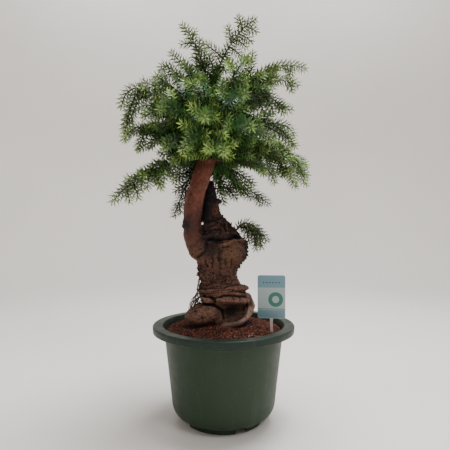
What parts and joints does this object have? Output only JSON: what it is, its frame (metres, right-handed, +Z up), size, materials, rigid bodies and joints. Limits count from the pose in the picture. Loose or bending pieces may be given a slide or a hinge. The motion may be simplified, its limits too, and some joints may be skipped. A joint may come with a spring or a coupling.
{
  "type": "hoop pine bonsai",
  "caption": "Hoop pine grown as a bonsai: swollen folded trunk, dead stump, smooth red limb and a round crown of needle sprays, in a flanged green plastic pot with a label.",
  "frame": {"origin": "centre of the bottom of the object's box, on the floor under the centre of the pot", "axes": "+Z up the plant, -Y towards the front that the picture shows, +X to the picture's right"},
  "size_m": [0.2885, 0.249, 0.6026],
  "materials": {
    "pot_plastic": "dark grey green moulded plastic with a soft sheen, the rim a little bluer",
    "bark_mix": "damp reddish brown bark and fibre potting mix",
    "bark": "smooth terracotta bark on the limb, dark and flaking on the stump and base",
    "needles": "mid green waxy needles, yellow green at the new tips",
    "label": "pale blue printed card, satin"
  },
  "bodies": {
    "root": {"plant_label": "label", "pot": "pot_plastic", "soil": "bark_mix", "spray_back_01": "needles", "spray_back_02": "needles", "spray_back_03": "needles", "spray_back_04": "needles", "spray_back_05": "needles", "spray_back_06": "needles", "spray_back_07": "needles", "spray_back_08": "needles", "spray_back_09": "needles", "spray_back_10": "needles", "spray_back_11": "needles", "spray_back_12": "needles", "spray_back_13": "needles", "spray_back_14": "needles", "spray_back_15": "needles", "spray_back_16": "needles", "spray_front_centre": "needles", "spray_front_drooping": "needles", "spray_front_far_right": "needles", "spray_front_high": "needles", "spray_front_left": "needles", "spray_front_left_low": "needles", "spray_front_right": "needles", "spray_front_right_low": "needles", "spray_front_under": "needles", "spray_front_upper": "needles", "spray_left_high": "needles", "spray_left_low": "needles", "spray_left_mid": "needles", "spray_left_out": "needles", "spray_left_up": "needles", "spray_limb_left": "needles", "spray_limb_right": "needles", "spray_right_arch": "needles", "spray_right_fourth": "needles", "spray_right_low": "needles", "spray_right_second": "needles", "spray_right_small": "needles", "spray_right_third": "needles", "spray_right_under": "needles", "spray_second_left": "needles", "spray_stump_shoot": "needles", "spray_third_left": "needles", "spray_top_left": "needles", "spray_top_right": "needles", "trunk": "bark"}
  },
  "joints": []
}
